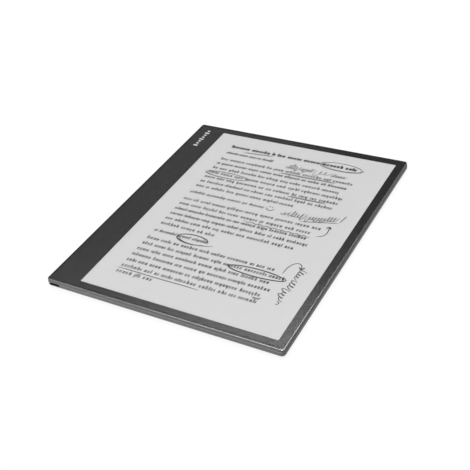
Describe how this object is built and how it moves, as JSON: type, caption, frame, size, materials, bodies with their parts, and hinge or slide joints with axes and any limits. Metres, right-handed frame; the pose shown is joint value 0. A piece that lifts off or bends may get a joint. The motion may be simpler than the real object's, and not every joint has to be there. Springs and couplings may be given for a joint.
{
  "type": "personal digital assistant",
  "caption": "Slim electronic paper notebook: a glass-fronted slab with one wide side border, a bevelled metal frame, a rounded back shell, a charging socket and a sprung power key.",
  "frame": {"origin": "middle of the plane that the rubber feet stand on", "axes": "+X across the screen towards the narrow border, +Y up the page towards the power key's edge, +Z out of the screen"},
  "size_m": [0.191, 0.2257, 0.007],
  "materials": {
    "cover_glass": "clear, lightly etched against glare",
    "border_print": "opaque near-black print behind the glass",
    "bond_tape": "black foam tape",
    "touch_film": "clear film",
    "light_guide": "clear acrylic",
    "light_bar": "polyimide strip with pale lamps",
    "epaper_panel": "matte paper grey",
    "digitizer_board": "green laminate",
    "frame_metal": "dark grey satin over magnesium alloy",
    "housing_metal": "dark grey satin over magnesium alloy",
    "foot_rubber": "matte",
    "screw_steel": "plated",
    "board_laminate": "blue-black laminate",
    "shield_tin": "tinned sheet",
    "chip_resin": "matte resin",
    "connector_resin": "ivory resin",
    "carrier_plastic": "black plastic",
    "aerial_foil": "gold-plated foil",
    "socket_steel": "drawn steel",
    "tongue_plastic": "black plastic",
    "key_metal": "dark grey satin",
    "switch_plastic": "black plastic",
    "plunger_plastic": "pale plastic",
    "bracket_steel": "pressed steel",
    "pouch_foil": "matte pouch foil",
    "tape_film": "pull-tab tape",
    "magnet_metal": "nickel plate",
    "flex_film": "amber film"
  },
  "bodies": {
    "tablet": {"cover_glass": "cover_glass", "border_print": "border_print", "bond_tape": "bond_tape", "touch_film": "touch_film", "light_guide": "light_guide", "light_bar": "light_bar", "epaper_panel": "epaper_panel", "digitizer_board": "digitizer_board", "mid_frame": "frame_metal", "rear_housing": "housing_metal", "rubber_feet": "foot_rubber", "frame_screws": "screw_steel", "board_screws": "screw_steel", "main_board": "board_laminate", "processor_shield": "shield_tin", "processor_chip": "chip_resin", "memory_chip": "chip_resin", "wireless_module": "shield_tin", "board_chips": "chip_resin", "flex_connectors": "connector_resin", "antenna_carrier": "carrier_plastic", "antenna_foil": "aerial_foil", "socket_shell": "socket_steel", "socket_tongue": "tongue_plastic", "switch_case": "switch_plastic", "key_board": "board_laminate", "key_bracket": "bracket_steel", "battery_cell": "pouch_foil", "battery_circuit": "board_laminate", "battery_tapes": "tape_film", "pen_magnets": "magnet_metal", "display_flex": "flex_film", "digitizer_flex": "flex_film", "touch_flex": "flex_film", "battery_flex": "flex_film", "key_flex": "flex_film"},
    "power_key": {"power_button": "key_metal"},
    "plunger": {"switch_plunger": "plunger_plastic"}
  },
  "joints": [
    {"name": "power_press", "type": "slide", "parent": "tablet", "child": "power_key", "axis": [0, -1, 0], "range_m": [0, 0.00035], "stiffness_N_per_m": 2500, "springref_m": -0.0002},
    {"name": "plunger_press", "type": "slide", "parent": "tablet", "child": "plunger", "axis": [0, -1, 0], "range_m": [0, 0.00035]}
  ],
  "couplings": [
    {"joint": "plunger_press", "follows": "power_press", "ratio": 1}
  ]
}
